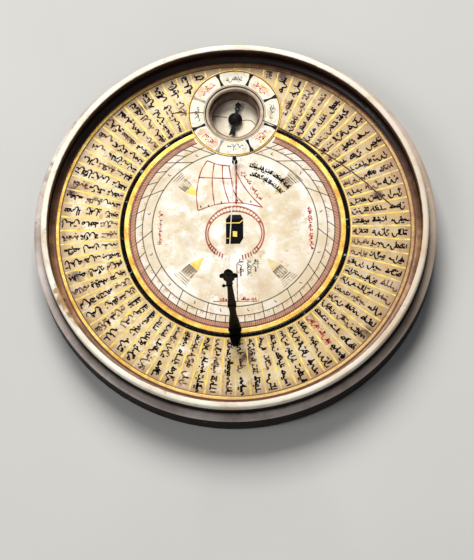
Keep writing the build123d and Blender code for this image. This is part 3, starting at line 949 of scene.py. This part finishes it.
def cracks():
    """The hairline crack across the board: west field, plate, compass floor and the long arc to the east."""
    rng = random.Random(3)
    field = Layer("crack_in_field", CRACK_BROWN, "buff_paper")
    plate = Layer("crack_in_plate", CRACK_BROWN, "plate_paper", PLATE_Z)
    card = Layer("crack_in_card", CRACK_BROWN, "card_cream", CARD_Z)
    east = ((33.6, 84.4), (44, 78.6), (56, 71.6), (69, 62.8), (82, 53.0), (95, 42.5), (107, 31.5),
            (124, 14.5))
    west = ((-50, 97.4), (-44, 98.2), (-37.6, 97.6))
    for points in (east, west):
        line = [(x + rng.uniform(-0.18, 0.18), y + rng.uniform(-0.18, 0.18))
                for x, y in smooth_line(points, 7)]
        field.ribbon(line, [rng.uniform(0.8, 1.4) for _ in line], CRACK_Z)
    for target, width, top, points in (
            (plate, 0.8, CRACK_Z, ((-35.9, 97.5), (-30, 97.9), (-24, 97.4))),
            (plate, 0.8, CRACK_Z, ((22.4, 90.2), (28, 87.4), (34.4, 84.6))),
            (card, 0.6, INK_Z, ((-17.6, 101.5), (-12, 101.0), (-6.5, 100.4))),
            (card, 0.6, INK_Z, ((5.5, 97.6), (12, 97.4), (16.4, 93.2)))):
        target.ribbon(smooth_line(points, 5), width, top)


# ======== worn tray edges ========
def lathe(name, outline, segments, wobble, material, slot, replaces):
    """A ring turned from a closed outline of (radius, height) in mm, each point moved by wobble."""
    count = len(outline)
    points, faces = [], []
    for i in range(segments):
        angle = 2 * math.pi * i / segments
        for radius, height in outline:
            outwards, upwards = wobble(angle, radius, height)
            radius_here = radius + outwards
            points.append(Vector((radius_here * math.cos(angle), radius_here * math.sin(angle),
                                  height + upwards)) * MM)
    for i in range(segments):
        j = (i + 1) % segments
        for k in range(count):
            m = (k + 1) % count
            faces.append([i * count + k, j * count + k, j * count + m, i * count + m])
    add_piece(name, points, faces, material, slot, replaces)


def rounded_outline(inner, outer, low, high, inner_r, outer_r, steps=5):
    """Anticlockwise (radius, height) outline with round top corners."""
    outline = [(inner, low), (outer, low), (outer, low + 0.3 * (high - low)), (outer, high - outer_r)]
    for i in range(1, steps + 1):
        a = math.pi / 2 * i / steps
        outline.append((outer - outer_r + outer_r * math.cos(a), high - outer_r + outer_r * math.sin(a)))
    outline.append(((inner + outer) / 2, high))
    for i in range(steps + 1):
        a = math.pi / 2 * (1 + i / steps)
        outline.append((inner + inner_r + inner_r * math.cos(a), high - inner_r + inner_r * math.sin(a)))
    return outline


CHIPS = ((207, 2.2, 1.5), (211, 1.3, 0.8), (216, 0.9, 0.6), (198, 0.8, 0.5), (63, 0.7, 0.4), (331, 0.8, 0.5),
         (288, 0.6, 0.4), (142, 0.7, 0.4))


def edge_wear(angle, radius, height, top, depth):
    """Small dents and chips, only ever inwards and down, on the top of a ring."""
    here = Vector((math.cos(angle), math.sin(angle), 0.0))
    near_top = max(0.0, 1.0 - (top - height) / 2.0)
    wave = noise.noise(here * 9.0 + Vector((0, 0, radius * 0.05)))
    fine = noise.noise(here * 60.0 + Vector((radius * 0.6, 0, height)))
    dent = near_top * depth * (0.10 * (wave + 1) + 0.10 * (fine + 1))
    for place, width, deep in CHIPS:
        away = abs((math.degrees(angle) - place + 180) % 360 - 180) / width
        if away < 1:
            rough = 0.75 + 0.5 * noise.noise(here * 160.0 + Vector((radius, height, 0)))
            dent += near_top * deep * depth * rough * (1 - away * away)
    return dent


def rim():
    low = base_mm("rim_cap")
    inner = reach_mm("wall_lining") - 0.68

    def wobble(angle, radius, height):
        dent = edge_wear(angle, radius, height, RIM_Z, 0.55)
        side = -0.5 if radius > WALL_R - 2 else 0.15 if radius < inner + 1.5 else 0.0
        return side * dent, -dent

    outline = rounded_outline(inner, WALL_R, low, RIM_Z, 1.1, 1.5)
    lathe("rim_cap_worn", outline, 900, wobble, GESSO, "cream_paint", "rim_cap")


def seat():
    low = base_mm("lid_seat_ring")
    inner = WALL_R - 0.8

    def wobble(angle, radius, height):
        dent = edge_wear(angle + 0.9, radius, height, SEAT_Z, 0.5) if radius > WALL_R + 1 else 0.0
        return (-0.5 * dent if radius > BODY_R - 2 else 0.0), -dent

    outer = BODY_R - 0.05
    outline = [(inner, low), (outer - 0.2, low), (outer, low + 0.3), (outer, SEAT_Z - 1.3),
               (outer - 0.35, SEAT_Z - 0.5), (outer - 1.2, SEAT_Z - 0.08), (outer - 2.4, SEAT_Z),
               ((BODY_R + WALL_R) / 2, SEAT_Z), (WALL_R + 0.9, SEAT_Z), (inner, SEAT_Z)]
    lathe("lid_seat_worn", outline, 900, wobble, SHADED_SEAT_PAINT, "cream_paint", "lid_seat_ring")


# ======== thread ========
def spline_points(route, per_span):
    """Points along a route's own smooth NURBS line."""
    curve = bpy.data.curves.new("route", "CURVE")
    curve.dimensions = "3D"
    curve.resolution_u = per_span
    spline = curve.splines.new("NURBS")
    spline.points.add(len(route) - 1)
    for point, place in zip(spline.points, route):
        point.co = (*place, 1.0)
    spline.order_u = 3
    spline.use_endpoint_u = True
    holder = bpy.data.objects.new("route", curve)
    bpy.context.scene.collection.objects.link(holder)
    bpy.context.view_layer.update()
    mesh = bpy.data.meshes.new_from_object(holder)
    points = [vertex.co.copy() for vertex in mesh.vertices]
    bpy.data.meshes.remove(mesh)
    bpy.data.objects.remove(holder)
    bpy.data.curves.remove(curve)
    return points


def twisted_thread():
    """Three-ply taut thread from the peg's loop to the knot in the finial's eye."""
    low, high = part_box("gnomon_thread")
    radius = (high.x - low.x) / 2
    start = Vector((0, high.y - radius * 0.7, low.z + radius * 0.7))
    end = Vector((0, low.y + radius * 0.7, high.z - radius * 0.7))
    route = (start, start.lerp(end, 0.5), end)
    line = spline_points(route, 240)
    length = sum((b - a).length for a, b in zip(line, line[1:]))
    side = Vector((1, 0, 0))
    up = (end - start).normalized().cross(side)
    pitch, ply, around = 0.0034, 3, 12
    points, faces = [], []
    for centre in line:
        twist = 2 * math.pi * (centre - start).length / pitch
        for k in range(around):
            a = 2 * math.pi * k / around
            r = radius * (0.84 + 0.16 * math.cos(ply * (a - twist)))
            points.append(centre + side * r * math.cos(a) + up * r * math.sin(a))
    count = len(line) - 1
    for i in range(count):
        for k in range(around):
            m = (k + 1) % around
            faces.append([i * around + k, i * around + m, (i + 1) * around + m, (i + 1) * around + k])
    faces.append(list(reversed(range(around))))
    faces.append([count * around + k for k in range(around)])
    piece = add_piece("gnomon_thread_twisted", points, faces, SILK, "silk", "gnomon_thread")
    [tuple(point) for point in line[::20] + line[-1:]]
    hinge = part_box("post_hinge_pin")
    pivot = Vector((0, (hinge[0].y + hinge[1].y) / 2, (hinge[0].z + hinge[1].z) / 2))
    arm = end - pivot
    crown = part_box("post_finial")[1]
    crown_tip = Vector((0, pivot.y + crown.z - pivot.z, pivot.z - (crown.y - pivot.y) - 1.4 * radius))
    slope = (start.z - crown_tip.z) / (start.y - crown_tip.y)
    folded = Vector((0, pivot.y + arm.z, 0))
    folded.z = crown_tip.z - slope * (crown_tip.y - folded.y)
    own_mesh(piece)


# ======== put it together ========
GESSO = painted_gesso("rim_gesso", (253, 250, 242), (244, 236, 218), (214, 194, 164),
                      inner_edge=reach_mm("wall_lining"))
# The seat's paint is a greyer, darker copy of the rim's cream. It is partly dirt and partly painted shade,
# since the flange lies in the wall's shadow. Next to the wall it carries a painted shadow band.
SHADED_SEAT_PAINT = painted_gesso("seat_gesso", (222, 212, 206), (194, 180, 172), (146, 126, 114),
                           wall_shadow_edge=WALL_R)
INK = paint("pen_ink", (8, 5, 5), (30, 20, 17), (116, 88, 62), 0.64, coat=0.0, specular=0.12)
GREEN_BLACK = paint("dark_green_ink", (36, 42, 38), (92, 98, 82), (170, 164, 138), 0.52)
RED_INK = paint("red_ink", (186, 54, 42), (212, 92, 70), (230, 160, 132), 0.55)
LINE_RED = paint("line_red", (154, 60, 42), (188, 92, 66), (212, 150, 116), 0.58)
FAINT_RED = paint("faint_red", (204, 110, 82), (228, 160, 130), (242, 216, 192), 0.52)
DARK_RED = paint("dark_red_line", (96, 40, 30), (138, 66, 48), (180, 120, 90))
BROWN_INK = paint("brown_ink", (84, 58, 40), (128, 94, 66), (176, 140, 104))
GREEN_GREY = paint("green_grey_line", (92, 86, 66), (132, 124, 94), (180, 168, 130))
ROSE_WASH = paint("rose_wash", (176, 124, 98), (206, 156, 126), (228, 196, 166), 0.58)
BEAD_CREAM = paint("bead_cream", (236, 220, 192), (252, 244, 228), (220, 190, 156))
WORN_GOLD = paint("worn_gold", (214, 190, 120), (238, 222, 172), (236, 222, 190), 0.55)
GATE_BROWN = paint("gate_brown", (100, 82, 64), (156, 132, 104), (214, 198, 168), 0.52)
STONE_PAINT = paint("stone_paint", (160, 142, 118), (200, 184, 158), (230, 218, 194), 0.5)
PALE_GOLD = paint("pale_gold", (222, 190, 74), (242, 222, 130), (244, 232, 190), 0.6,
                  roughness=0.4, metallic=0.25)
YELLOW_GOLD = paint("yellow_gold", (224, 184, 70), (248, 226, 120), (226, 200, 140), 0.62,
                    roughness=0.36, metallic=0.35)
STREAK_GOLD = paint("streak_gold", (234, 194, 70), (255, 238, 116), (226, 198, 140), 0.5,
                    roughness=0.4, metallic=0.2)
BLACK_PAINT = paint("black_paint", (2, 2, 2), (9, 8, 8), roughness=0.6, coat=0.0, specular=0.06)
NAVY_PAINT = paint("navy_paint", (6, 6, 16), (18, 20, 42), (72, 74, 96), 0.66, coat=0.0,
                   specular=0.1)
WORN_NAVY = paint("worn_navy", (120, 112, 120), (196, 184, 170), (238, 230, 214), 0.5)
PANEL_WHITE = paint("panel_white", (232, 222, 202), (253, 250, 242), (216, 194, 158), 0.54)
PANEL_ROSE = paint("panel_rose", (226, 170, 142), (250, 226, 206), (252, 246, 234), 0.46)
CRACK_BROWN = paint("crack_brown", (64, 40, 20), (112, 78, 42), roughness=0.8, coat=0.0, specular=0.1)
SILK = silk_thread()

NODE_FINISH = {
    old_wood("dark_wood", (38, 22, 14), (82, 52, 34)): ("foot_ring", "base_board", "dial_bed"),
    hoop_wood(): ("body_hoop", "wall_hoop"),
    lining(): ("wall_lining",),
    tan_varnish("wall_varnish", (96, 58, 34), (150, 104, 66), (204, 158, 106), True): ("edge_moulding",),
    tan_varnish("bezel_varnish", (146, 122, 100), (200, 180, 154), (234, 222, 202)): ("compass_bezel",),
    place_paper(): ("outer_dial_ring",),
    ivory_paper(): ("inner_dial", "medallion_disc"),
    plate_paper(): ("compass_plate",),
    card_paper(): ("compass_card",),
    bowl_paint(): ("compass_bowl",),
    gold_leaf(): ("inner_gilt_ring", "compass_gilt_ring"),
    gold_leaf("border_leaf", True): ("outer_gilt_ring",),
    black_lacquer(): ("black_ring",),
    clear_glass(): ("compass_glass",),
    pivot_brass(): ("needle_pivot",),
    blued_steel(): ("needle", "needle_cap"),
    blackened_metal(): ("thread_peg", "post_bracket", "post_hinge_pin", "bracket_nails", "gnomon_post",
                        "post_collar", "thread_cleat", "post_finial"),
    SILK: ("thread_loop", "thread_knot"),
}
for material, names in NODE_FINISH.items():
    for name in names:
        for slot in NODES[name].material_slots:
            slot.material = material

for painting in (place_rows, border_lines, tick_band, hour_scale, hour_fan, noon_line, field_writing,
                 medallion_frame, cube_painting, gate_paintings, plate_circles, plate_cartouches, cracks):
    painting()
for coat in Layer.coats:
    coat.build()
rim()
seat()
twisted_thread()


# ======== floor, light and camera ========
def floor():
    """A large round pale floor."""
    rim_points = [polar((0, 0), 7.0, 5 * i) for i in range(72)]
    mesh = bpy.data.meshes.new("studio_floor")
    mesh.from_pydata([(x, y, 0.0) for x, y in rim_points], [], [list(range(72))])
    f = Finish("studio_paper", roughness=0.85)
    f.set("Base Color", f.ramp(f.noise(3, 3), (0.3, (198, 198, 196)), (0.7, (206, 206, 204))))
    mesh.materials.append(f.material)
    piece = bpy.data.objects.new("studio_floor", mesh)
    bpy.context.scene.collection.objects.link(piece)


def area_light(name, place, target, size, power, colour=(1.0, 1.0, 1.0)):
    light = bpy.data.lights.new(name, "AREA")
    light.shape = "RECTANGLE"
    light.size, light.size_y = size
    light.energy = power
    light.color = colour
    lamp = bpy.data.objects.new(name, light)
    lamp.location = place
    lamp.rotation_euler = (Vector(target) - Vector(place)).to_track_quat("-Z", "Y").to_euler()
    bpy.context.scene.collection.objects.link(lamp)


def lights():
    area_light("back_softbox", (-0.5, 3.0, 3.1), (0, 0, 0.02), (2.4, 1.8), 226, (1.0, 0.975, 0.93))
    area_light("left_softbox", (-2.6, -0.9, 3.3), (0, 0, 0.02), (1.6, 1.6), 42, (1.0, 0.98, 0.95))
    world = bpy.data.worlds.new("studio")
    world.use_nodes = True
    world.node_tree.nodes["Background"].inputs["Color"].default_value = (0.93, 0.95, 1.0, 1.0)
    world.node_tree.nodes["Background"].inputs["Strength"].default_value = 0.17
    bpy.context.scene.world = world
    bpy.context.scene.view_settings.view_transform = "Standard"


def camera():
    """A long lens from above the front edge, a little to the right, rolled so the thread stands upright."""
    place = Vector((0.0655, -0.6874, 1.8383))
    target = Vector((0.0015, -0.0429, DIAL_Z * MM))
    roll = math.radians(-6.2)
    data = bpy.data.cameras.new("camera")
    data.lens = 160.7
    data.sensor_width = 36.0
    body = bpy.data.objects.new("camera", data)
    look = (target - place).to_track_quat("-Z", "Y").to_matrix().to_4x4()
    body.matrix_world = Matrix.Translation(place) @ look @ Matrix.Rotation(roll, 4, "Z")
    bpy.context.scene.collection.objects.link(body)
    bpy.context.scene.camera = body


floor()
lights()
camera()
